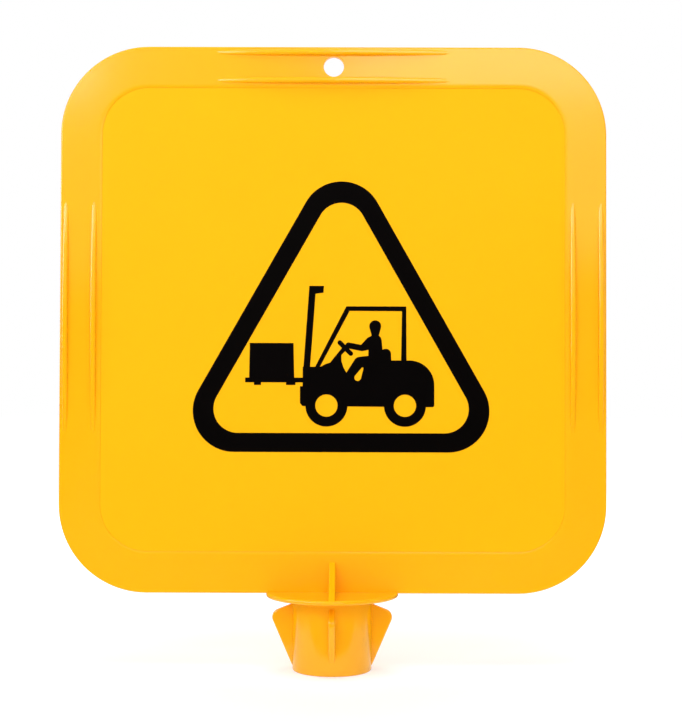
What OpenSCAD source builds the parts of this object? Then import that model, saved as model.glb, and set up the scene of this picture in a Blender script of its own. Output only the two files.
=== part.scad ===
// Cone sign: a square warning sign on a finned plug that drops into the top of a traffic cone.
// Sizes are in millimetres. Z is up, the front of the sign faces -Y, and the origin is the middle
// of the collar's underside, which is the face that rests on the cone.

/* [Panel] */
// Width of the panel
panel_w = 270; // [220:1:360]
// Height of the panel
panel_h = 270; // [220:1:360]
// Thickness of the panel at its border
panel_t = 4; // [3:0.1:5]
// Radius of the panel's corners
corner_r = 43.5; // [30:0.5:60]
// Width of the raised border round the face recess
border_w = 20; // [18:0.5:26]
// Depth of the face recess on each side
recess_depth = 0.6; // [0.4:0.05:1]
// Diameter of the hang hole in the top border
hang_hole_d = 10; // [5:0.5:10.5]

/* [Ribs] */
// Length of each crescent rib along its border
rib_len = 115; // [60:1:125]
// Width of each rib
rib_w = 2.6; // [1.6:0.1:3]
// Height of each rib at the middle of its length
rib_rise = 2.8; // [1.5:0.1:4]
// Strip of border between the panel's edge and the outer rib
rib_edge_gap = 1.5; // [0.5:0.1:2]
// Strip of border between the inner rib and the face recess
rib_face_gap = 2; // [0.5:0.1:3]

/* [Collar and gussets] */
// Diameter of the stop collar
collar_d = 65; // [61:0.5:80]
// Thickness of the stop collar
collar_t = 2.2; // [1.8:0.1:4]
// Depth of the groove across the collar that takes the panel's lower edge
seat_depth = 0.7; // [0.3:0.1:1.2]
// Height of each gusset above the collar
gusset_h = 14.6; // [8:0.1:18]
// Thickness of each gusset
gusset_t = 3.1; // [2:0.1:5]
// Width of the flat at the top of each gusset
gusset_land = 1; // [0.5:0.1:3]
// Step from the collar's rim in to the toe of each gusset
gusset_setback = 0.6; // [0.2:0.1:6]

/* [Plug] */
// Outer diameter of the plug's tube
tube_d = 39; // [35:0.5:44]
// Wall of the tube
tube_wall = 3; // [2:0.1:3.5]
// Length of the tube below the collar
tube_len = 36; // [30:0.5:60]
// Distance across the tips of the two side fins
side_fin_span = 59; // [54:0.5:61]
// Distance across the tips of the front and rear fins
front_fin_span = 55; // [52:0.5:61]
// Thickness of each fin
fin_t = 3.1; // [2:0.1:5]
// Gap between the collar and each fin at the tube
fin_top_gap = 3.5; // [2.5:0.1:5]
// Depth of the fin tips below the collar
fin_tip_drop = 10.2; // [9:0.1:14]
// Radius of each rounded fin tip
fin_tip_r = 4; // [2:0.1:4.5]
// Plain length of tube below the side fins
fin_foot_gap = 2; // [1.5:0.1:8]

/* [Tongue] */
// Depth of the socket in the tube that guides the tongue
socket_depth = 10; // [6:0.5:14]
// Wall of the socket on each side of the tongue
socket_wall = 2; // [1.2:0.1:4]
// Overhang of each hook under the socket
hook_reach = 1.4; // [0.8:0.1:2.5]
// Height of each hook
hook_h = 6; // [4:0.5:9]
// Room between each hook and the tube's bore
hook_room = 1.2; // [0.6:0.1:2]
// Width of the slit between the tongue's two legs
slit_w = 6; // [3:0.5:10]
// Height of solid tongue between the panel and the slit
slit_drop = 3; // [2:0.5:6]
// Clearance round the panel and its tongue in the plug
fit_gap = 0.15; // [0.05:0.05:0.3]

/* [Face film] */
// Thickness of the yellow face film
film_t = 0.2; // [0.1:0.05:0.25]
// Gap between the film and the edge of the recess
film_gap = 0.5; // [0.2:0.1:3]
// Thickness of the black cut film
figure_t = 0.1; // [0.05:0.05:0.15]

/* [Warning triangle] */
// Base of the triangle, between its outer edges produced to sharp corners
triangle_side = 175.4; // [150:0.1:190]
// Outer radius of the triangle's corners
triangle_r = 20.3; // [14:0.1:24]
// Inner radius of the triangle's corners
triangle_inner_r = 12; // [6:0.1:15]
// Width of the triangle's band
triangle_band = 9.4; // [6:0.1:12]
// Distance from the panel's centre line to the triangle's, to the reader's right
triangle_shift = 4.1; // [-10:0.1:10]
// Height of the triangle's middle above the panel's middle
triangle_lift = 1.3; // [-10:0.1:10]

/* [Lift truck] */
// Clearance between the truck's load and the triangle's band
truck_clear = 1.1; // [0.5:0.1:4]
// Height of the wheels above the triangle's band
truck_lift = 3.2; // [1:0.1:6]
// Distance from the triangle's centre line to the truck's middle, to the reader's right
truck_shift = -0.7; // [-3:0.1:3]

/* [Hidden] */
$fn = 96;
// Facets of the large circle that a rib's crest follows
rib_facets = 720;
// Facets of the circles in the black figures
figure_facets = 48;
// Length by which a cut runs past the solid that it cuts
overrun = 1;
plastic_colour = "#fdbb14";
film_colour = "#fec516";
figure_colour = "#0d0c0c";

// Levels: the panel's lower edge sits in the collar's groove
panel_z = collar_t - seat_depth;
panel_mid_z = panel_z + panel_h / 2;
recess_y = panel_t / 2 - recess_depth;

// Lines that the ribs follow, measured in from the panel's edge, with the hang hole midway
rib_lines = [rib_edge_gap + rib_w / 2, border_w - rib_face_gap - rib_w / 2];
hang_hole_drop = (rib_lines[0] + rib_lines[1]) / 2;
rib_r = (rib_len * rib_len / 4 + rib_rise * rib_rise) / (2 * rib_rise);
rib_root = panel_t / 4;

// Plug
collar_r = collar_d / 2;
tube_r = tube_d / 2;
bore_r = tube_r - tube_wall;
slot_half_t = panel_t / 2 + fit_gap;

// Tongue, as wide as the tube's bore lets its hooks be
hook_half_w = sqrt(bore_r * bore_r - panel_t * panel_t / 4) - hook_room;
tongue_half_w = hook_half_w - hook_reach;
hook_z = -socket_depth - fit_gap;
tongue_end_z = hook_z - hook_h;
hook_land_share = 0.25;

// Fins: the lower edge of a side fin is the tangent from its foot to its round tip,
// and the front and rear fins take the same slope
side_tip = [side_fin_span / 2 - fin_tip_r, -fin_tip_drop];
side_foot = [tube_r, fin_foot_gap - tube_len];
foot_to_tip = side_tip - side_foot;
fin_slope = atan2(foot_to_tip.y, foot_to_tip.x) - asin(fin_tip_r / norm(foot_to_tip));

// Triangle: a little taller than an equal-sided one, so its two legs rise a little more steeply
triangle_tall_share = 1.018;
triangle_rise = triangle_tall_share * sqrt(3);
leg_share = sqrt(1 + triangle_rise * triangle_rise) / triangle_rise;
corner_share = leg_share + 1 / triangle_rise;
triangle_inner_side = triangle_side - 2 * corner_share * triangle_band;
triangle_box_h = (triangle_side - 2 * corner_share * triangle_r) * triangle_rise / 2 + 2 * triangle_r;

// Lift truck, in shares of its length: x from the fork tips, y up from the ground
wheel_share = 0.111;
hub_share = 0.0588;
wheel_x_shares = [0.430, 0.845];
load_shares = [[0.021, 0.250], [0.024, 0.441], [0.255, 0.441], [0.260, 0.250]];
fork_shares = [[0, 0.233], [0, 0.258], [0.320, 0.258], [0.320, 0.233]];
// Feet of the pallet, each as its lower left corner and its size
pallet_foot_shares = [
    [[0.047, 0.219], [0.037, 0.021]],
    [[0.216, 0.219], [0.050, 0.021]]
];
mast_shares = [
    [0.304, 0.240], [0.304, 0.259], [0.338, 0.744], [0.415, 0.744],
    [0.413, 0.708], [0.371, 0.702], [0.342, 0.300], [0.342, 0.240]
];
cab_shares = [
    [0.367, 0.310], [0.534, 0.636], [0.851, 0.636], [0.853, 0.340],
    [0.824, 0.340], [0.828, 0.611], [0.551, 0.612], [0.392, 0.310]
];
body_shares = [
    [0.304, 0.316], [0.304, 0.213], [0.290, 0.213], [0.290, 0.125], [0.303, 0.108],
    [0.940, 0.104], [0.988, 0.104], [1.000, 0.116], [1.000, 0.2195], [0.869, 0.3505],
    [0.690, 0.3505], [0.605, 0.337], [0.565, 0.273], [0.534, 0.287], [0.521, 0.310],
    [0.509, 0.345], [0.508, 0.378], [0.537, 0.407], [0.518, 0.424], [0.449, 0.338],
    [0.423, 0.330], [0.397, 0.316]
];
counterweight_shares = [0.869, 0.2195];
counterweight_r_share = 0.131;
tail_shares = [0.988, 0.116];
tail_r_share = 0.012;
// Round-ended bars, each as a first point, its radius, a second point and its radius
bar_shares = [
    [[0.687, 0.531], 0.0313, [0.687, 0.488], 0.0200],
    [[0.686, 0.452], 0.0355, [0.690, 0.374], 0.0387],
    [[0.666, 0.443], 0.0329, [0.618, 0.415], 0.0160],
    [[0.618, 0.415], 0.0160, [0.546, 0.429], 0.0160],
    [[0.687, 0.342], 0.0370, [0.605, 0.337], 0.0318],
    [[0.605, 0.337], 0.0318, [0.565, 0.273], 0.0318],
    [[0.743, 0.384], 0.0281, [0.743, 0.342], 0.0292],
    [[0.500, 0.444], 0.0122, [0.558, 0.386], 0.0122]
];
leg_gap_shares = [[0.595, 0.259], 0.0175, [0.620, 0.308], 0.0053];

// Length of the truck at which its load clears the triangle's band
load_corner_share = load_shares[1];
truck_room = triangle_inner_side / 2 + truck_shift - truck_lift / triangle_rise - leg_share * truck_clear;
truck_len = truck_room / (1 / 2 - load_corner_share.x + load_corner_share.y / triangle_rise);

// Stands a flat outline up, with its thickness running from the plane y towards the front
module upright(y, t) {
    translate([0, y, 0])
        rotate([90, 0, 0])
            linear_extrude(t)
                children();
}

// Turns a front piece into the rear one
module behind() {
    rotate([0, 0, 180])
        children();
}

// Panel outline drawn in by a margin, about the panel's middle
module panel_outline(margin) {
    w = panel_w - 2 * margin;
    h = panel_h - 2 * margin;
    r = corner_r - margin;
    square([w, h - 2 * r], center = true);
    square([w - 2 * r, h], center = true);
    for (x = [-1, 1], y = [-1, 1])
        translate([x * (w / 2 - r), y * (h / 2 - r)])
            circle(r);
}

// One crescent rib along X on the front face: the rim of a large disc that stands out of the face
module rib() {
    crest_y = -panel_t / 2 - rib_rise;
    intersection() {
        translate([0, crest_y + rib_r, 0])
            cylinder(r = rib_r, h = rib_w, center = true, $fn = rib_facets);
        translate([-rib_len, crest_y, -rib_w])
            cube([2 * rib_len, rib_rise + rib_root, 2 * rib_w]);
    }
}

// A pair of ribs on the top border and one on each side border
module front_ribs() {
    for (line = rib_lines) {
        translate([0, 0, panel_z + panel_h - line])
            rib();
        for (side = [-1, 1])
            translate([side * (panel_w / 2 - line), 0, panel_mid_z])
                rotate([0, 90, 0])
                    rib();
    }
}

// Tongue in the plane of the panel: two legs with a hook on the outside of each
module tongue_outline() {
    root_z = panel_z + border_w / 2;
    difference() {
        for (side = [0, 1])
            mirror([side, 0])
                polygon([
                    [0, tongue_end_z],
                    [tongue_half_w - hook_reach, tongue_end_z],
                    [hook_half_w, hook_z - hook_h * hook_land_share],
                    [hook_half_w, hook_z],
                    [tongue_half_w, hook_z],
                    [tongue_half_w, root_z],
                    [0, root_z]
                ]);
        slit_top_z = panel_z - slit_drop - slit_w / 2;
        translate([0, slit_top_z])
            circle(d = slit_w);
        translate([-slit_w / 2, tongue_end_z - overrun])
            square([slit_w, slit_top_z - tongue_end_z + overrun]);
    }
}

// Moulded panel with a recess on each face
module sign_panel() {
    color(plastic_colour)
        difference() {
            union() {
                upright(panel_t / 2, panel_t)
                    translate([0, panel_mid_z])
                        panel_outline(0);
                upright(panel_t / 2, panel_t)
                    tongue_outline();
                for (face = [0, 1])
                    mirror([0, face, 0])
                        front_ribs();
            }
            for (face = [0, 1])
                mirror([0, face, 0])
                    upright(-recess_y, recess_depth + overrun)
                        translate([0, panel_mid_z])
                            panel_outline(border_w);
            translate([0, 0, panel_z + panel_h - hang_hole_drop])
                rotate([90, 0, 0])
                    cylinder(d = hang_hole_d, h = panel_t + 2 * rib_rise + 2 * overrun, center = true);
        }
}

// Stop collar with a full-round rim
module collar() {
    rotate_extrude() {
        square([collar_r - collar_t / 2, collar_t]);
        translate([collar_r - collar_t / 2, collar_t / 2])
            circle(d = collar_t);
    }
}

// Gusset outline, out from the plug's axis and up
module gusset_outline() {
    toe = collar_r - gusset_setback;
    top_z = collar_t + gusset_h;
    polygon([
        [0, panel_z],
        [toe, panel_z],
        [toe, collar_t],
        [slot_half_t + gusset_land, top_z],
        [0, top_z]
    ]);
}

// Hollow tube with a full-round lip at its lower end
module tube() {
    rotate_extrude() {
        translate([bore_r, tube_wall / 2 - tube_len])
            square([tube_wall, tube_len - tube_wall / 2]);
        translate([bore_r + tube_wall / 2, tube_wall / 2 - tube_len])
            circle(d = tube_wall);
    }
}

// Fin outline, out from the plug's axis and up: a round tip with a tangent to the tube on each side
module fin_outline(span) {
    root_r = bore_r + tube_wall / 2;
    tip = [span / 2 - fin_tip_r, -fin_tip_drop];
    top = [tube_r, -fin_top_gap];
    top_to_tip = tip - top;
    top_slope = atan2(top_to_tip.y, top_to_tip.x) + asin(fin_tip_r / norm(top_to_tip));
    top_touch = tip + fin_tip_r * [-sin(top_slope), cos(top_slope)];
    low_touch = tip + fin_tip_r * [sin(fin_slope), -cos(fin_slope)];
    foot_z = low_touch.y - (low_touch.x - tube_r) * tan(fin_slope);
    polygon([[root_r, top.y], top, top_touch, tip, low_touch, [tube_r, foot_z], [root_r, foot_z]]);
    translate(tip)
        circle(fin_tip_r);
}

// Four fins, two to the sides and two to the front and rear
module fins() {
    for (turn = [0, 1, 2, 3])
        rotate([0, 0, turn * 90])
            upright(fin_t / 2, fin_t)
                fin_outline(turn % 2 == 0 ? side_fin_span : front_fin_span);
}

// Cross wall in the top of the tube, which the tongue is pushed through
module socket() {
    half_t = slot_half_t + socket_wall;
    intersection() {
        translate([-tube_r, -half_t, -socket_depth])
            cube([2 * tube_r, 2 * half_t, socket_depth + panel_z / 2]);
        translate([0, 0, -socket_depth])
            cylinder(r = tube_r - tube_wall / 2, h = socket_depth + panel_z / 2);
    }
}

// Moulded plug: the panel's lower edge drops between the gussets and its tongue hooks under the socket
module cone_plug() {
    color(plastic_colour)
        difference() {
            union() {
                collar();
                for (turn = [-90, 90])
                    rotate([0, 0, turn])
                        upright(gusset_t / 2, gusset_t)
                            gusset_outline();
                tube();
                fins();
                socket();
            }
            translate([-collar_d / 2 - overrun, -slot_half_t, panel_z])
                cube([collar_d + 2 * overrun, 2 * slot_half_t, seat_depth + gusset_h + overrun]);
            translate([-tongue_half_w - fit_gap, -slot_half_t, -socket_depth - overrun])
                cube([
                    2 * (tongue_half_w + fit_gap),
                    2 * slot_half_t,
                    socket_depth + panel_z + 2 * overrun
                ]);
        }
}

// Yellow film that lines a face recess
module face_film() {
    color(film_colour)
        upright(-recess_y, film_t)
            translate([0, panel_mid_z])
                panel_outline(border_w + film_gap);
}

// Triangle with round corners, from its base between sharp corners and the height of that base.
// Its corner circles sit on the corners of a smaller triangle, the core
module round_triangle(side, r, base_y) {
    core = side - 2 * corner_share * r;
    core_y = base_y + r;
    offset(r)
        polygon([
            [0, core_y + core * triangle_rise / 2],
            [-core / 2, core_y],
            [core / 2, core_y]
        ]);
}

// Places a piece of black film on the face film, about the middle of the triangle's lower edge
module figure() {
    color(figure_colour)
        translate([triangle_shift, -recess_y - film_t, panel_mid_z + triangle_lift - triangle_box_h / 2])
            rotate([90, 0, 0])
                children();
}

// Black band of the warning triangle
module triangle() {
    figure()
        linear_extrude(figure_t)
            difference() {
                round_triangle(triangle_side, triangle_r, 0);
                round_triangle(triangle_inner_side, triangle_inner_r, triangle_band);
            }
}

// Disc drawn to the truck's scale from its shares
module disc(place_shares, r_share) {
    translate(place_shares * truck_len)
        circle(r_share * truck_len, $fn = figure_facets);
}

// Bar with two round ends of different radius, drawn to the truck's scale from its shares
module bar(shares) {
    hull() {
        disc(shares[0], shares[1]);
        disc(shares[2], shares[3]);
    }
}

// Lift truck seen from the side, about the point on the ground under its fork tips
module truck_outline() {
    difference() {
        union() {
            for (outline = [load_shares, fork_shares, mast_shares, cab_shares, body_shares])
                polygon(outline * truck_len);
            for (foot = pallet_foot_shares)
                translate(foot[0] * truck_len)
                    square(foot[1] * truck_len);
            disc(counterweight_shares, counterweight_r_share);
            disc(tail_shares, tail_r_share);
            for (shares = bar_shares)
                bar(shares);
            for (x = wheel_x_shares)
                disc([x, wheel_share], wheel_share);
        }
        for (x = wheel_x_shares)
            disc([x, wheel_share], hub_share);
        bar(leg_gap_shares);
    }
}

// Black lift truck inside the warning triangle
module truck_symbol() {
    figure()
        translate([truck_shift - truck_len / 2, triangle_band + truck_lift, 0])
            linear_extrude(figure_t)
                truck_outline();
}

sign_panel();
cone_plug();
face_film();  // front_face_film
behind() face_film();  // rear_face_film
triangle();  // front_triangle
behind() triangle();  // rear_triangle
truck_symbol();  // front_truck_symbol
behind() truck_symbol();  // rear_truck_symbol
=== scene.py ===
import math

import bmesh
import bpy
from mathutils import Matrix, Quaternion, Vector


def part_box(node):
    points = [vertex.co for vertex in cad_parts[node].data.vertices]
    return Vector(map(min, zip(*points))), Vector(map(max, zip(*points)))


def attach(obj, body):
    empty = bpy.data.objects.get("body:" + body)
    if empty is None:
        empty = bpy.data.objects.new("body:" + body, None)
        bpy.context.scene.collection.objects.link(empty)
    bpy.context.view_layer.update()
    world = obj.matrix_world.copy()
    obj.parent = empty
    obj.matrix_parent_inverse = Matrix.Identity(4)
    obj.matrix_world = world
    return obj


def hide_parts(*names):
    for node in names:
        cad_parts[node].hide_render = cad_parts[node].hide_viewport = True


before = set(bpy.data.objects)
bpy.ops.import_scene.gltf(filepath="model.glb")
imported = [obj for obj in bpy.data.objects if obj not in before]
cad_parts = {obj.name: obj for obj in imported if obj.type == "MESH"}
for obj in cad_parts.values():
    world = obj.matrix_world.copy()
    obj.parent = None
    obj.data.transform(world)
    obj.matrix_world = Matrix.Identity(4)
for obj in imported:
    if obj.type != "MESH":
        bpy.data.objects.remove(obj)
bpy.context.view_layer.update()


# Plug body: the round stop collar that rests on the cone's top, and the hollow tube below it.
# Both are one moulding of pigmented polypropylene, with every edge rounded off by the mould.
MM = 0.001
plug_low, plug_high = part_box("cone_plug")
collar_r = plug_high.x
collar_t = 2.2 * MM
tube_r = 19.5 * MM
tube_wall = 3 * MM
tube_root_r = 1 * MM
tube_end_z = plug_low.z
turn_steps = 128
rim_steps = 12
edge_steps = 6


def arc(centre, r, start, end, steps):
    """Points on an arc in a plane, from one angle in degrees to another."""
    turns = [math.radians(start + (end - start) * i / steps) for i in range(steps + 1)]
    return [(centre[0] + r * math.cos(a), centre[1] + r * math.sin(a)) for a in turns]


def as_object(name, mesh_builder):
    """A new object in the scene from a finished bmesh."""
    mesh = bpy.data.meshes.new(name)
    mesh_builder.to_mesh(mesh)
    mesh_builder.free()
    made = bpy.data.objects.new(name, mesh)
    bpy.context.scene.collection.objects.link(made)
    return made


def turned(name, profile):
    """A solid turned about Z, from (radius, height) points that start and end on the axis."""
    shape = bmesh.new()
    rings = []
    for r, z in profile:
        count = turn_steps if r > 0 else 1
        turns = [2 * math.pi * i / count for i in range(count)]
        rings.append([shape.verts.new((r * math.cos(a), r * math.sin(a), z)) for a in turns])
    for upper, lower in zip(rings, rings[1:]):
        for i in range(turn_steps):
            j = i + 1
            corners = [ring[k % len(ring)] for ring, k in ((upper, i), (lower, i), (lower, j), (upper, j))]
            shape.faces.new(dict.fromkeys(corners))
    bmesh.ops.recalc_face_normals(shape, faces=shape.faces)
    return as_object(name, shape)


def plain_mesh(made):
    """Makes an object's modifiers part of its own mesh."""
    depsgraph = bpy.context.evaluated_depsgraph_get()
    made.data = bpy.data.meshes.new_from_object(made.evaluated_get(depsgraph))
    made.modifiers.clear()


bore_r = tube_r - tube_wall
rim_r = collar_t / 2
foot_r = 0.8 * MM
plug_profile = [(0, collar_t)]
plug_profile += arc((collar_r - rim_r, rim_r), rim_r, 90, -90, rim_steps)
plug_profile += arc((tube_r + tube_root_r, -tube_root_r), tube_root_r, 90, 180, edge_steps)
plug_profile += arc((tube_r - foot_r, tube_end_z + foot_r), foot_r, 0, -90, edge_steps)
plug_profile += arc((bore_r + foot_r, tube_end_z + foot_r), foot_r, -90, -180, edge_steps)
plug_profile += arc((bore_r - tube_root_r, -tube_root_r), tube_root_r, 0, 90, edge_steps)
plug_profile += [(0, 0)]
plug = turned("plug_body", plug_profile)


def linear(hex_colour):
    """Linear RGBA of an sRGB colour written as #rrggbb."""
    shares = [int(hex_colour[i:i + 2], 16) / 255 for i in (1, 3, 5)]
    return [s / 12.92 if s <= 0.04045 else ((s + 0.055) / 1.055) ** 2.4 for s in shares] + [1]


def add(tree, kind, inputs=None, **settings):
    """Adds a node to a tree with its settings; an input is given a value, or a socket to link from."""
    made = tree.nodes.new(kind)
    for name, value in settings.items():
        setattr(made, name, value)
    for key, value in (inputs or {}).items():
        if isinstance(value, bpy.types.NodeSocket):
            tree.links.new(value, made.inputs[key])
        else:
            made.inputs[key].default_value = value
    return made


# Moulded polypropylene: injection-moulded plastic with an opaque yellow pigment. The polished mould
# gives it a clear gloss that mirrors the lamps, with slow flow marks in tone and gloss, and a faint
# grain. The real grain is finer than a pixel, so it is drawn as coarse as it needs to be to show.
def moulded_polypropylene():
    material = bpy.data.materials.new("moulded_polypropylene")
    material.use_nodes = True
    tree = material.node_tree
    shader = tree.nodes["Principled BSDF"]
    place = add(tree, "ShaderNodeTexCoord").outputs["Object"]
    flow_mark = 45 * MM
    grain = 1.2 * MM
    grain_depth = 0.05 * MM
    flow = add(tree, "ShaderNodeTexNoise", {"Vector": place, "Scale": 1 / flow_mark, "Detail": 2.0})
    colours = add(tree, "ShaderNodeMix", {
        "Factor": flow.outputs["Fac"], 6: linear("#ffb90b"), 7: linear("#ffbd0f"),
    }, data_type="RGBA")
    tree.links.new(colours.outputs[2], shader.inputs["Base Color"])
    gloss = add(tree, "ShaderNodeMapRange", {
        "Value": flow.outputs["Fac"], "To Min": 0.1, "To Max": 0.15,
    })
    tree.links.new(gloss.outputs["Result"], shader.inputs["Roughness"])
    grains = add(tree, "ShaderNodeTexNoise", {"Vector": place, "Scale": 1 / grain, "Detail": 1.0})
    bump = add(tree, "ShaderNodeBump", {
        "Height": grains.outputs["Fac"], "Strength": 0.05, "Distance": grain_depth,
    })
    tree.links.new(bump.outputs["Normal"], shader.inputs["Normal"])
    shader.inputs["IOR"].default_value = 1.49
    return material


plastic = moulded_polypropylene()
plug.data.materials.append(plastic)
plug_webs = []


# Fins: four thin webs on the tube, two to the sides and two shorter ones to the front and rear. They are
# moulded with the tube, and their slanting edges centre the plug in cones of different widths.
fin_t = 3.1 * MM
fin_top_gap = 3.5 * MM
fin_tip_drop = 10.2 * MM
fin_tip_r = 4 * MM
fin_foot_gap = 2 * MM
fin_edge_r = 1.2 * MM
fin_tip_steps = 16
fin_spans = {"plug_side_fins": (59 * MM, 0), "plug_front_fins": (55 * MM, 90)}


def slab(name, outline, thickness, edge_r):
    """A flat plate standing in the XZ plane, from an outline of (x, z) points, with rounded edges."""
    least_edge_turn = 50
    shape = bmesh.new()
    face = shape.faces.new([shape.verts.new((x, -thickness / 2, z)) for x, z in outline])
    back = bmesh.ops.extrude_face_region(shape, geom=[face])
    moved = [part for part in back["geom"] if isinstance(part, bmesh.types.BMVert)]
    bmesh.ops.translate(shape, verts=moved, vec=(0, thickness, 0))
    bmesh.ops.recalc_face_normals(shape, faces=shape.faces)
    made = as_object(name, shape)
    rounding = made.modifiers.new("rounding", "BEVEL")
    rounding.width = edge_r
    rounding.segments = edge_steps
    rounding.limit_method = "ANGLE"
    rounding.angle_limit = math.radians(least_edge_turn)
    return made


def fin_outline(span):
    """A fin's outline: a round tip with a tangent to the tube above and below it."""
    side_foot = Vector((tube_r, tube_end_z + fin_foot_gap))
    side_tip = Vector((fin_spans["plug_side_fins"][0] / 2 - fin_tip_r, -fin_tip_drop))
    along = side_tip - side_foot
    low_slope = math.degrees(math.atan2(along.y, along.x) - math.asin(fin_tip_r / along.length))
    tip = Vector((span / 2 - fin_tip_r, -fin_tip_drop))
    top = Vector((tube_r, -fin_top_gap))
    along = tip - top
    top_slope = math.degrees(math.atan2(along.y, along.x) + math.asin(fin_tip_r / along.length))
    rounded = arc(tip, fin_tip_r, top_slope + 90, low_slope - 90, fin_tip_steps)
    foot_x, foot_z = rounded[-1]
    foot_z -= (foot_x - tube_r) * math.tan(math.radians(low_slope))
    root_x = bore_r + tube_wall / 2
    return [(root_x, top.y), tuple(top), *rounded, (tube_r, foot_z), (root_x, foot_z)]


def modifier_tree(made, tree, values):
    """Puts a node tree on an object and sets its inputs by name before it is first evaluated."""
    modifier = made.modifiers.new(tree.name, "NODES")
    modifier.node_group = tree
    for item in tree.interface.items_tree:
        if item.in_out == "INPUT" and item.name in values:
            modifier[item.identifier] = values[item.name]


# The tree repeats one web round the plug's axis.
web_tree = bpy.data.node_groups.new("webs_round_axis", "GeometryNodeTree")
web_tree.interface.new_socket("Geometry", in_out="INPUT", socket_type="NodeSocketGeometry")
web_tree.interface.new_socket("Count", in_out="INPUT", socket_type="NodeSocketInt")
web_tree.interface.new_socket("First turn", in_out="INPUT", socket_type="NodeSocketFloat")
web_tree.interface.new_socket("Geometry", in_out="OUTPUT", socket_type="NodeSocketGeometry")
web_in = add(web_tree, "NodeGroupInput").outputs
turn_apart = add(web_tree, "ShaderNodeMath", {0: 2 * math.pi, 1: web_in["Count"]}, operation="DIVIDE")
web_turn = add(web_tree, "ShaderNodeMath", {
    0: add(web_tree, "GeometryNodeInputIndex").outputs["Index"],
    1: turn_apart.outputs["Value"],
    2: web_in["First turn"],
}, operation="MULTIPLY_ADD")
web_angles = add(web_tree, "ShaderNodeCombineXYZ", {"Z": web_turn.outputs["Value"]})
web_copies = add(web_tree, "GeometryNodeInstanceOnPoints", {
    "Points": add(web_tree, "GeometryNodePoints", {"Count": web_in["Count"]}).outputs["Points"],
    "Instance": web_in["Geometry"],
    "Rotation": add(web_tree, "FunctionNodeEulerToRotation", {
        "Euler": web_angles.outputs["Vector"],
    }).outputs["Rotation"],
})
real_webs = add(web_tree, "GeometryNodeRealizeInstances", {"Geometry": web_copies.outputs["Instances"]})
plastic_webs = add(web_tree, "GeometryNodeSetMaterial", {
    "Geometry": real_webs.outputs["Geometry"], "Material": plastic,
})
add(web_tree, "NodeGroupOutput", {"Geometry": plastic_webs.outputs["Geometry"]})

for name, (span, first_turn) in fin_spans.items():
    fin = slab(name, fin_outline(span), fin_t, fin_edge_r)
    modifier_tree(fin, web_tree, {"Count": 2, "First turn": math.radians(first_turn)})
    plain_mesh(fin)
    plug_webs.append(fin)


# Gussets: one triangular web in front of the panel and one behind it, which keep it from rocking. They
# are moulded in one with the collar.
gusset_t = 3.1 * MM
gusset_land = 1 * MM
gusset_setback = 0.6 * MM
gusset_edge_r = 1.2 * MM
gusset_top_z = plug_high.z
panel_t = 4 * MM
toe = collar_r - gusset_setback
gusset = slab("plug_gussets", [
    (panel_t / 4, collar_t / 2), (toe, collar_t / 2), (toe, collar_t),
    (panel_t / 2 + gusset_land, gusset_top_z), (panel_t / 4, gusset_top_z),
], gusset_t, gusset_edge_r)
modifier_tree(gusset, web_tree, {"Count": 2, "First turn": math.radians(-90)})
plain_mesh(gusset)
plug_webs.append(gusset)


# Socket: the cross wall inside the tube that the panel's tongue is pushed through, as a wall in front
# of the tongue and one behind it. It is part of the plug's moulding and shows only from below.
socket_depth = 10 * MM
socket_wall = 2 * MM
hook_reach = 1.4 * MM
hook_room = 1.2 * MM
socket_edge_r = 0.3 * MM
hook_half_w = math.sqrt(bore_r ** 2 - panel_t ** 2 / 4) - hook_room
tongue_half_w = hook_half_w - hook_reach
for name, side in (("plug_socket_front", -1), ("plug_socket_rear", 1)):
    wall_y = side * (panel_t / 2 + socket_wall / 2)
    chord = math.sqrt(bore_r ** 2 - wall_y ** 2) + tube_wall / 4
    wall = slab(name, [
        (-chord, -socket_depth), (chord, -socket_depth), (chord, rim_r), (-chord, rim_r),
    ], socket_wall, socket_edge_r)
    wall.data.transform(Matrix.Translation((0, wall_y, 0)))
    plain_mesh(wall)
    wall.data.materials.append(plastic)
    plug_webs.append(wall)


def one_moulding(body, pieces):
    """Joins a body and its pieces into one closed solid, shaded smooth but for its sharp corners."""
    least_sharp_turn = 35
    for piece in pieces:
        joined = body.modifiers.new(piece.name, "BOOLEAN")
        joined.operation = "UNION"
        joined.solver = "EXACT"
        joined.object = piece
    plain_mesh(body)
    for piece in pieces:
        bpy.data.objects.remove(piece)
    body.data.shade_smooth()
    body.data.set_sharp_from_angle(angle=math.radians(least_sharp_turn))
    flats = body.modifiers.new("flats_stay_flat", "WEIGHTED_NORMAL")
    flats.weight = 100
    flats.keep_sharp = True
    plain_mesh(body)


one_moulding(plug, plug_webs)
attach(plug, "root")
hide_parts("cone_plug")


# Panel: the square sign board, moulded in the same polypropylene as the plug. A raised border runs
# round a shallow recess on each face, a gentle lip leads down to the edge of the film laid in it, and a
# hang hole goes through the top border.
panel_low, panel_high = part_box("sign_panel")
half_w = panel_high.x
panel_top_z = panel_high.z
panel_mid_z = panel_top_z - half_w
corner_r = 43.5 * MM
border_w = 20 * MM
recess_depth = 0.6 * MM
board_edge_r = 0.8 * MM
lip_w = 2.3 * MM
lip_slope = 13
film_gap = 0.45 * MM
face_margin = 38 * MM
corner_steps = 24
lip_steps = 8
board_edge_steps = 8


def panel_outline(margin):
    """The panel's outline drawn in by a margin, as (x, z) points."""
    points = []
    reach = half_w - corner_r
    for corner, (sx, sz) in enumerate([(1, -1), (1, 1), (-1, 1), (-1, -1)]):
        centre = (sx * reach, panel_mid_z + sz * reach)
        points += arc(centre, corner_r - margin, 90 * corner - 90, 90 * corner, corner_steps)
    return points


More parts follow.
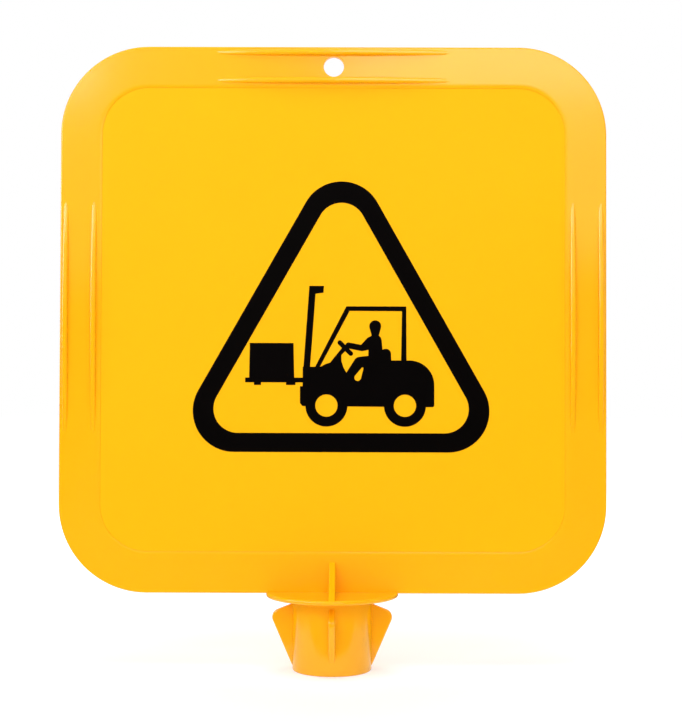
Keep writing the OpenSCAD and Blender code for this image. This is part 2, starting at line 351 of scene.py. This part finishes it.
face_y = panel_t / 2
floor_y = face_y - recess_depth
film_edge = border_w + film_gap
lip_r = lip_w / math.sin(math.radians(lip_slope))
section = [(face_margin, floor_y), (film_edge, floor_y)]
section += arc((film_edge - lip_w, face_y - lip_r), lip_r, 90 - lip_slope, 90, lip_steps)
section += arc((board_edge_r, face_y - board_edge_r), board_edge_r, 90, 180, board_edge_steps)
section += [(margin, -depth) for margin, depth in reversed(section)]

board = bmesh.new()
loops = []
for margin, depth in section:
    loops.append([board.verts.new((x, -depth, z)) for x, z in panel_outline(margin)])
for outer, inner in zip(loops, loops[1:]):
    for i in range(len(outer)):
        j = (i + 1) % len(outer)
        board.faces.new((outer[i], outer[j], inner[j], inner[i]))
board.faces.new(loops[0])
board.faces.new(loops[-1])
bmesh.ops.recalc_face_normals(board, faces=board.faces)
panel = as_object("panel_board", board)

# The hang hole is cut by a drill that widens at both faces, so that the hole's rims come out rounded.
hole_r = 5 * MM
hole_edge_r = 0.5 * MM
hole_drop = 9.75 * MM
hole_rim = arc((hole_r + hole_edge_r, face_y - hole_edge_r), hole_edge_r, 180, 90, edge_steps)
drill_profile = [(0, -panel_t), (hole_r + hole_edge_r, -panel_t)]
drill_profile += [(r, -z) for r, z in reversed(hole_rim)] + hole_rim
drill_profile += [(hole_r + hole_edge_r, panel_t), (0, panel_t)]
drill = turned("drill", drill_profile)
hole_place = Matrix.Translation((0, 0, panel_top_z - hole_drop))
drill.data.transform(hole_place @ Matrix.Rotation(math.pi / 2, 4, "X"))
hang_hole = panel.modifiers.new("hang_hole", "BOOLEAN")
hang_hole.object = drill
hang_hole.solver = "EXACT"
plain_mesh(panel)
bpy.data.objects.remove(drill)
panel.data.materials.clear()
panel.data.materials.append(plastic)


# Tongue: the two hooked legs below the panel, moulded in one with it. They are pushed down through the
# plug's socket and snap under it, which holds the two mouldings together.
tongue_end_z = panel_low.z
hook_h = 6 * MM
hook_land = 1.5 * MM
slit_w = 6 * MM
slit_drop = 3 * MM
tongue_edge_r = 0.4 * MM
slit_steps = 12
panel_z = panel_top_z - 2 * half_w
hook_z = tongue_end_z + hook_h
half_tongue = [
    (tongue_half_w - hook_reach, tongue_end_z), (hook_half_w, hook_z - hook_land), (hook_half_w, hook_z),
    (tongue_half_w, hook_z), (tongue_half_w, panel_z + board_edge_r / 2),
]
slit_top = (0, panel_z - slit_drop - slit_w / 2)
slit = arc(slit_top, slit_w / 2, 180, 0, slit_steps)
tongue = slab("panel_tongue", [
    (slit_w / 2, tongue_end_z), *half_tongue, *[(-x, z) for x, z in reversed(half_tongue)],
    (-slit_w / 2, tongue_end_z), *slit,
], panel_t, tongue_edge_r)
plain_mesh(tongue)
tongue.data.materials.append(plastic)


# Ribs: crescent grip ribs moulded on the border, two along the top and two along each side, on both
# faces. Each is an arc with a flat crest and rounded shoulders, which rises out of the border and sinks
# back into it.
rib_len = 115 * MM
rib_w = 2.6 * MM
rib_rise = 2.8 * MM
rib_root = 0.6 * MM
rib_shoulder_r = 0.9 * MM
rib_shoulder_steps = 8
rib_steps = 64
rib_edge_gap = 1.5 * MM
rib_face_gap = 2 * MM
rib_lines = [rib_edge_gap + rib_w / 2, border_w - rib_face_gap - rib_w / 2]
crest_r = (rib_len ** 2 / 4 + rib_rise ** 2) / (2 * rib_rise)
rib_depth = rib_rise + rib_root
rail_r = crest_r - rib_depth / 2

rib_points = bmesh.new()
rib_turns = []
for face_turn in (0, math.pi):
    side = 1 if face_turn else -1
    for line in rib_lines:
        for x, z, lay in (
            (0, panel_top_z - line, 0),
            (half_w - line, panel_mid_z, math.pi / 2),
            (line - half_w, panel_mid_z, math.pi / 2),
        ):
            rib_points.verts.new((x, side * face_y, z))
            rib_turns.append((0, lay, face_turn))
ribs = as_object("panel_ribs", rib_points)
turn_of_rib = ribs.data.attributes.new("turn", "FLOAT_VECTOR", "POINT")
for stored, angles in zip(turn_of_rib.data, rib_turns):
    stored.vector = angles

# The tree sweeps a rounded strip along a flat arc, and sets a turned copy of it on each point.
rib_tree = bpy.data.node_groups.new("crescent_ribs", "GeometryNodeTree")
rib_tree.interface.new_socket("Geometry", in_out="INPUT", socket_type="NodeSocketGeometry")
for name in ("Rail radius", "Half sweep", "Width", "Depth", "Rise", "Edge radius"):
    rib_tree.interface.new_socket(name, in_out="INPUT", socket_type="NodeSocketFloat")
rib_tree.interface.new_socket("Geometry", in_out="OUTPUT", socket_type="NodeSocketGeometry")
rib_in = add(rib_tree, "NodeGroupInput").outputs
rail = add(rib_tree, "GeometryNodeCurveArc", {
    "Resolution": rib_steps,
    "Radius": rib_in["Rail radius"],
    "Start Angle": add(rib_tree, "ShaderNodeMath", {
        0: -math.pi / 2, 1: rib_in["Half sweep"],
    }, operation="SUBTRACT").outputs["Value"],
    "Sweep Angle": add(rib_tree, "ShaderNodeMath", {
        0: rib_in["Half sweep"], 1: 2.0,
    }, operation="MULTIPLY").outputs["Value"],
}, mode="RADIUS")
level_rail = add(rib_tree, "GeometryNodeSetCurveNormal", {"Curve": rail.outputs["Curve"]}, mode="Z_UP")
rib_section = add(rib_tree, "GeometryNodeFilletCurve", {
    "Curve": add(rib_tree, "GeometryNodeCurvePrimitiveQuadrilateral", {
        "Width": rib_in["Depth"], "Height": rib_in["Width"],
    }, mode="RECTANGLE").outputs["Curve"],
    "Count": rib_shoulder_steps,
    "Radius": rib_in["Edge radius"],
    "Limit Radius": True,
}, mode="POLY")
swept = add(rib_tree, "GeometryNodeCurveToMesh", {
    "Curve": level_rail.outputs["Curve"], "Profile Curve": rib_section.outputs["Curve"], "Fill Caps": True,
})
crest_reach = add(rib_tree, "ShaderNodeMath", {
    0: rib_in["Depth"], 1: 0.5, 2: rib_in["Rail radius"],
}, operation="MULTIPLY_ADD")
sunk = add(rib_tree, "ShaderNodeMath", {
    0: crest_reach.outputs["Value"], 1: rib_in["Rise"],
}, operation="SUBTRACT")
crescent = add(rib_tree, "GeometryNodeTransform", {
    "Geometry": swept.outputs["Mesh"],
    "Translation": add(rib_tree, "ShaderNodeCombineXYZ", {"Y": sunk.outputs["Value"]}).outputs["Vector"],
})
rib_turn = add(rib_tree, "GeometryNodeInputNamedAttribute", {"Name": "turn"}, data_type="FLOAT_VECTOR")
rib_copies = add(rib_tree, "GeometryNodeInstanceOnPoints", {
    "Points": rib_in["Geometry"],
    "Instance": crescent.outputs["Geometry"],
    "Rotation": add(rib_tree, "FunctionNodeEulerToRotation", {
        "Euler": rib_turn.outputs["Attribute"],
    }).outputs["Rotation"],
})
real_ribs = add(rib_tree, "GeometryNodeRealizeInstances", {"Geometry": rib_copies.outputs["Instances"]})
smooth_ribs = add(rib_tree, "GeometryNodeSetShadeSmooth", {"Geometry": real_ribs.outputs["Geometry"]})
plastic_ribs = add(rib_tree, "GeometryNodeSetMaterial", {
    "Geometry": smooth_ribs.outputs["Geometry"], "Material": plastic,
})
add(rib_tree, "NodeGroupOutput", {"Geometry": plastic_ribs.outputs["Geometry"]})
modifier_tree(ribs, rib_tree, {
    "Rail radius": rail_r,
    "Half sweep": math.asin(rib_len / 2 / crest_r),
    "Width": rib_w,
    "Depth": rib_depth,
    "Rise": rib_rise,
    "Edge radius": rib_shoulder_r,
})
plain_mesh(ribs)
one_moulding(panel, [tongue, ribs])
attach(panel, "root")
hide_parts("sign_panel")


# Face films: yellow vinyl film, cut to the recess and laid in it by hand on both faces.
# Yellow vinyl film: calendered, with a soft sheen, a faint orange peel and a few small trapped air
# bubbles. Real orange peel is finer than this, and is drawn as coarse as it needs to be to show.
def yellow_vinyl_film():
    material = bpy.data.materials.new("yellow_vinyl_film")
    material.use_nodes = True
    tree = material.node_tree
    shader = tree.nodes["Principled BSDF"]
    place = add(tree, "ShaderNodeTexCoord").outputs["Object"]
    tone_patch = 80 * MM
    peel = 3 * MM
    peel_depth = 0.03 * MM
    bubble_spacing = 16 * MM
    bubble_r = 1.3 * MM
    bubble_h = 0.1 * MM
    bubble_share = 0.1
    tone = add(tree, "ShaderNodeTexNoise", {"Vector": place, "Scale": 1 / tone_patch, "Detail": 1.0})
    colours = add(tree, "ShaderNodeMix", {
        "Factor": tone.outputs["Fac"], 6: linear("#ffbb06"), 7: linear("#ffbf0a"),
    }, data_type="RGBA")
    tree.links.new(colours.outputs[2], shader.inputs["Base Color"])
    flat_place = add(tree, "ShaderNodeMapping", {"Vector": place, "Rotation": (math.pi / 2, 0, 0)})
    cells = add(tree, "ShaderNodeTexVoronoi", {
        "Vector": flat_place.outputs["Vector"], "Scale": 1 / bubble_spacing,
    }, voronoi_dimensions="2D")
    dome = add(tree, "ShaderNodeMapRange", {
        "Value": cells.outputs["Distance"], "From Min": 0.0, "From Max": bubble_r / bubble_spacing,
        "To Min": 1.0, "To Max": 0.0,
    }, interpolation_type="SMOOTHSTEP")
    chance = add(tree, "ShaderNodeSeparateColor", {"Color": cells.outputs["Color"]})
    chosen = add(tree, "ShaderNodeMath", {
        0: chance.outputs["Red"], 1: 1 - bubble_share,
    }, operation="GREATER_THAN")
    bubbles = add(tree, "ShaderNodeMath", {
        0: dome.outputs["Result"], 1: chosen.outputs["Value"],
    }, operation="MULTIPLY")
    orange_peel = add(tree, "ShaderNodeTexNoise", {"Vector": place, "Scale": 1 / peel, "Detail": 1.0})
    skin = add(tree, "ShaderNodeBump", {
        "Height": orange_peel.outputs["Fac"], "Strength": 0.1, "Distance": peel_depth,
    })
    blister = add(tree, "ShaderNodeBump", {
        "Height": bubbles.outputs["Value"], "Strength": 0.5, "Distance": bubble_h,
        "Normal": skin.outputs["Normal"],
    })
    tree.links.new(blister.outputs["Normal"], shader.inputs["Normal"])
    shader.inputs["Roughness"].default_value = 0.4
    shader.inputs["IOR"].default_value = 1.53
    shader.inputs["Specular IOR Level"].default_value = 0.08
    return material


yellow_film = yellow_vinyl_film()
for name in ("front_face_film", "rear_face_film"):
    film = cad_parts[name]
    film.data.materials.clear()
    film.data.materials.append(yellow_film)


# Figures: the warning triangle and the lift truck in it, cut from black vinyl film and stuck on both
# faces. Black vinyl film: deep black with a soft satin sheen and the same faint orange peel as the film
# below it, drawn just as coarse.
def black_vinyl_film():
    material = bpy.data.materials.new("black_vinyl_film")
    material.use_nodes = True
    tree = material.node_tree
    shader = tree.nodes["Principled BSDF"]
    place = add(tree, "ShaderNodeTexCoord").outputs["Object"]
    peel = 3 * MM
    peel_depth = 0.03 * MM
    tone_patch = 25 * MM
    tone = add(tree, "ShaderNodeTexNoise", {"Vector": place, "Scale": 1 / tone_patch, "Detail": 2.0})
    colours = add(tree, "ShaderNodeMix", {
        "Factor": tone.outputs["Fac"], 6: linear("#040303"), 7: linear("#070505"),
    }, data_type="RGBA")
    tree.links.new(colours.outputs[2], shader.inputs["Base Color"])
    orange_peel = add(tree, "ShaderNodeTexNoise", {"Vector": place, "Scale": 1 / peel, "Detail": 1.0})
    skin = add(tree, "ShaderNodeBump", {
        "Height": orange_peel.outputs["Fac"], "Strength": 0.1, "Distance": peel_depth,
    })
    tree.links.new(skin.outputs["Normal"], shader.inputs["Normal"])
    shader.inputs["Roughness"].default_value = 0.45
    shader.inputs["IOR"].default_value = 1.53
    shader.inputs["Specular IOR Level"].default_value = 0.02
    return material


black_film = black_vinyl_film()
for name in ("front_triangle", "rear_triangle", "front_truck_symbol", "rear_truck_symbol"):
    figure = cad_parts[name]
    figure.data.materials.clear()
    figure.data.materials.append(black_film)


# Surround: white all round the sign to the camera's eye, as in the photograph, and little light from it.
# In reflections it is white behind the sign and a dim room in front of it, where the camera stands.
def eye_rays(tree):
    """Whether the camera looks straight at a place, and whether a reflection or a clear piece shows it."""
    light_path = add(tree, "ShaderNodeLightPath").outputs
    mirror_ray = add(tree, "ShaderNodeMath", {
        0: light_path["Is Glossy Ray"], 1: light_path["Is Transmission Ray"],
    }, operation="MAXIMUM")
    return light_path["Is Camera Ray"], mirror_ray.outputs["Value"]


def eye_white(tree, camera_ray, camera_share, mirror_ray, mirror_share):
    """How strong the white is that the camera sees, or that a reflection shows."""
    shown = add(tree, "ShaderNodeMath", {0: mirror_ray, 1: mirror_share}, operation="MULTIPLY")
    strength = add(tree, "ShaderNodeMath", {
        0: camera_ray, 1: camera_share, 2: shown.outputs["Value"],
    }, operation="MULTIPLY_ADD")
    return strength.outputs["Value"]


ambient = 0.08
dim_room = 0.03
room_heading = -0.3
white = (1, 1, 1, 1)
world = bpy.data.worlds.new("white_surround")
world.use_nodes = True
bpy.context.scene.world = world
sky = world.node_tree
sky.nodes["Background"].inputs["Strength"].default_value = ambient
sky.nodes["Background"].inputs["Color"].default_value = white
sky_heading = add(sky, "ShaderNodeSeparateXYZ", {
    "Vector": add(sky, "ShaderNodeTexCoord").outputs["Generated"],
})
behind = add(sky, "ShaderNodeMapRange", {
    "Value": sky_heading.outputs["Y"], "From Min": room_heading, "From Max": 0.0,
    "To Min": dim_room, "To Max": 1.0,
})
camera_ray, mirror_ray = eye_rays(sky)
seen = add(sky, "ShaderNodeMath", {0: mirror_ray, 1: camera_ray}, operation="MAXIMUM")
seen_sky = add(sky, "ShaderNodeBackground", {
    "Color": white,
    "Strength": eye_white(sky, camera_ray, 1.0, mirror_ray, behind.outputs["Result"]),
})
surround = add(sky, "ShaderNodeMixShader", {
    0: seen.outputs["Value"],
    1: sky.nodes["Background"].outputs["Background"],
    2: seen_sky.outputs["Background"],
})
sky.links.new(surround.outputs["Shader"], sky.nodes["World Output"].inputs["Surface"])


# Floor: the white paper that the sign stands on, which keeps the sign's shadow. In reflections it is a
# bright sheet with faded edges near the sign, and joins the surround far off.
floor_half = 6000 * MM
paper_half_w = 170 * MM
paper_front = -60 * MM
paper_front_fade = 10 * MM
paper_rear = 115 * MM
paper_fade = 40 * MM
paper_mirror = 0.85
paper_shade = 0.6
paper_bounce = 0.95
near_reach = 100 * MM
near_white = 0.5
far_reach = 800 * MM
far_white = 0.96
surround_from = 500 * MM
surround_full = 1000 * MM
floor_shape = bmesh.new()
bmesh.ops.create_grid(floor_shape, x_segments=1, y_segments=1, size=floor_half)
bmesh.ops.translate(floor_shape, verts=floor_shape.verts, vec=(0, 0, tube_end_z))
floor = as_object("floor", floor_shape)
paper = bpy.data.materials.new("white_paper")
paper.use_nodes = True
sheet = paper.node_tree
camera_ray, mirror_ray = eye_rays(sheet)
shade = add(sheet, "ShaderNodeMath", {0: camera_ray, 1: paper_shade}, operation="MULTIPLY")
bounce = add(sheet, "ShaderNodeMath", {
    0: add(sheet, "ShaderNodeLightPath").outputs["Is Diffuse Ray"],
    1: paper_bounce,
    2: shade.outputs["Value"],
}, operation="MULTIPLY_ADD")
sheet.links.new(bounce.outputs["Value"], sheet.nodes["Principled BSDF"].inputs["Base Color"])
sheet.nodes["Principled BSDF"].inputs["Roughness"].default_value = 1.0
sheet.nodes["Principled BSDF"].inputs["Specular IOR Level"].default_value = 0.0
floor_place = add(sheet, "ShaderNodeTexCoord").outputs["Object"]
across = add(sheet, "ShaderNodeSeparateXYZ", {"Vector": floor_place})
reach = add(sheet, "ShaderNodeVectorMath", {0: floor_place}, operation="LENGTH")
side_reach = add(sheet, "ShaderNodeMath", {0: across.outputs["X"]}, operation="ABSOLUTE")
within_sides = add(sheet, "ShaderNodeMapRange", {
    "Value": side_reach.outputs["Value"], "From Min": paper_half_w - paper_fade, "From Max": paper_half_w,
    "To Min": paper_mirror, "To Max": dim_room,
})
past_front = add(sheet, "ShaderNodeMapRange", {
    "Value": across.outputs["Y"], "From Min": paper_front - paper_front_fade, "From Max": paper_front,
    "To Min": dim_room, "To Max": 1.0,
})
before_rear = add(sheet, "ShaderNodeMapRange", {
    "Value": across.outputs["Y"], "From Min": paper_rear - paper_fade, "From Max": paper_rear,
    "To Min": 1.0, "To Max": dim_room,
})
front_to_rear = add(sheet, "ShaderNodeMath", {
    0: past_front.outputs["Result"], 1: before_rear.outputs["Result"],
}, operation="MINIMUM")
on_paper = add(sheet, "ShaderNodeMath", {
    0: front_to_rear.outputs["Value"], 1: within_sides.outputs["Result"],
}, operation="MINIMUM")
floor_heading = add(sheet, "ShaderNodeMath", {
    0: across.outputs["Y"], 1: reach.outputs["Value"],
}, operation="DIVIDE")
floor_behind = add(sheet, "ShaderNodeMapRange", {
    "Value": floor_heading.outputs["Value"], "From Min": room_heading, "From Max": 0.0,
    "To Min": dim_room, "To Max": 1.0,
})
far_off = add(sheet, "ShaderNodeMapRange", {
    "Value": reach.outputs["Value"], "From Min": surround_from, "From Max": surround_full,
    "To Min": 0.0, "To Max": 1.0,
})
far_share = add(sheet, "ShaderNodeMath", {
    0: floor_behind.outputs["Result"], 1: far_off.outputs["Result"],
}, operation="MULTIPLY")
mirror_share = add(sheet, "ShaderNodeMath", {
    0: on_paper.outputs["Value"], 1: far_share.outputs["Value"],
}, operation="MAXIMUM").outputs["Value"]
camera_share = add(sheet, "ShaderNodeMapRange", {
    "Value": reach.outputs["Value"], "From Min": near_reach, "From Max": far_reach,
    "To Min": near_white, "To Max": far_white,
}).outputs["Result"]
seen_floor = add(sheet, "ShaderNodeEmission", {
    "Color": white,
    "Strength": eye_white(sheet, camera_ray, camera_share, mirror_ray, mirror_share),
})
lit_paper = add(sheet, "ShaderNodeAddShader", {
    0: sheet.nodes["Principled BSDF"].outputs["BSDF"], 1: seen_floor.outputs["Emission"],
})
sheet.links.new(lit_paper.outputs["Shader"], sheet.nodes["Material Output"].inputs["Surface"])
floor.data.materials.append(paper)


# Lamps: soft boxes and cards round the sign. Some show in the glossy plastic, and others only light it.
# The two low warm fills keep the yellow of the shaded sides from turning green.
def softbox(name, azimuth, elevation, distance, width, height, power,
            tint="#ffffff", mirrored=True, lit=True, roll=0, aim=(0, 0, 0)):
    """A rectangular soft light, with its sizes in metres and its power in watts, that shines from an
    azimuth and elevation in degrees at the middle of the panel, or at a point off it by aim."""
    lamp = bpy.data.lights.new(name, "AREA")
    lamp.shape = "RECTANGLE"
    lamp.size = width
    lamp.size_y = height
    lamp.energy = power
    lamp.color = linear(tint)[:3]
    light = bpy.data.objects.new(name, lamp)
    round_sign = math.radians(azimuth)
    up = math.radians(elevation)
    back = Vector((math.sin(round_sign) * math.cos(up), -math.cos(round_sign) * math.cos(up), math.sin(up)))
    light.location = Vector((0, 0, panel_mid_z)) + Vector(aim) + back * distance
    light.rotation_mode = "QUATERNION"
    facing = (-back).to_track_quat("-Z", "Y")
    light.rotation_quaternion = facing @ Quaternion((0, 0, 1), math.radians(roll))
    light.visible_glossy = mirrored
    light.visible_diffuse = lit
    bpy.context.scene.collection.objects.link(light)


softbox("left_strip", azimuth=-73.5, elevation=13, distance=0.65, width=0.69, height=0.2, power=2.9,
        lit=False, roll=18, aim=(0.033, -0.186, 0.012))
softbox("left_wing", azimuth=-70, elevation=13, distance=1.1, width=0.5, height=0.3, power=1.5,
        mirrored=False)
softbox("left_key", azimuth=-34, elevation=22, distance=1.2, width=0.3, height=0.3, power=1.9)
softbox("right_fill", azimuth=60, elevation=8, distance=1.1, width=0.5, height=0.5, power=1.2,
        mirrored=False)
softbox("front_left_high", azimuth=-20.6, elevation=23, distance=1.51, width=0.3, height=0.4, power=1.7)
softbox("front_left_card", azimuth=-13, elevation=20, distance=1.3, width=0.5, height=0.7, power=0.5)
softbox("front_right_box", azimuth=11.5, elevation=24.7, distance=1.4, width=0.56, height=0.42, power=2.7)
softbox("front_right_skirt", azimuth=11.5, elevation=11.8, distance=1.3, width=0.56, height=0.24, power=0.42)
softbox("overhead", azimuth=0, elevation=74, distance=0.9, width=0.6, height=0.5, power=5, mirrored=False)
softbox("rear_left", azimuth=228, elevation=22, distance=1.0, width=0.5, height=0.5, power=5,
        mirrored=False)
softbox("rear_right", azimuth=132, elevation=22, distance=1.0, width=0.5, height=0.5, power=5,
        mirrored=False)
softbox("warm_front_fill", azimuth=0, elevation=-3, distance=1.2, width=0.6, height=0.3, power=2.7,
        tint="#ffbe8c", mirrored=False)
softbox("warm_rear_fill", azimuth=180, elevation=-3, distance=1.2, width=0.6, height=0.3, power=3,
        tint="#ffb27a", mirrored=False)


# Camera: a moderate telephoto lens a little below the middle of the sign, as the photograph was taken.
# The sign fills the picture, and the small roll follows the photograph's own tilt.
camera_place = Vector((5.5, -696.3, 102.6)) * MM
camera_target = Vector((4.0, 0, 115.9)) * MM
camera_roll = 0.0031
lens_mm = 70.2
view = bpy.data.cameras.new("camera")
view.lens = lens_mm
view.clip_start = 10 * MM
camera = bpy.data.objects.new("camera", view)
camera_aim = (camera_target - camera_place).to_track_quat("-Z", "Y").to_matrix().to_4x4()
camera.matrix_world = Matrix.Translation(camera_place) @ camera_aim @ Matrix.Rotation(camera_roll, 4, "Z")
bpy.context.scene.collection.objects.link(camera)
bpy.context.scene.camera = camera
bpy.context.scene.view_settings.view_transform = "Standard"
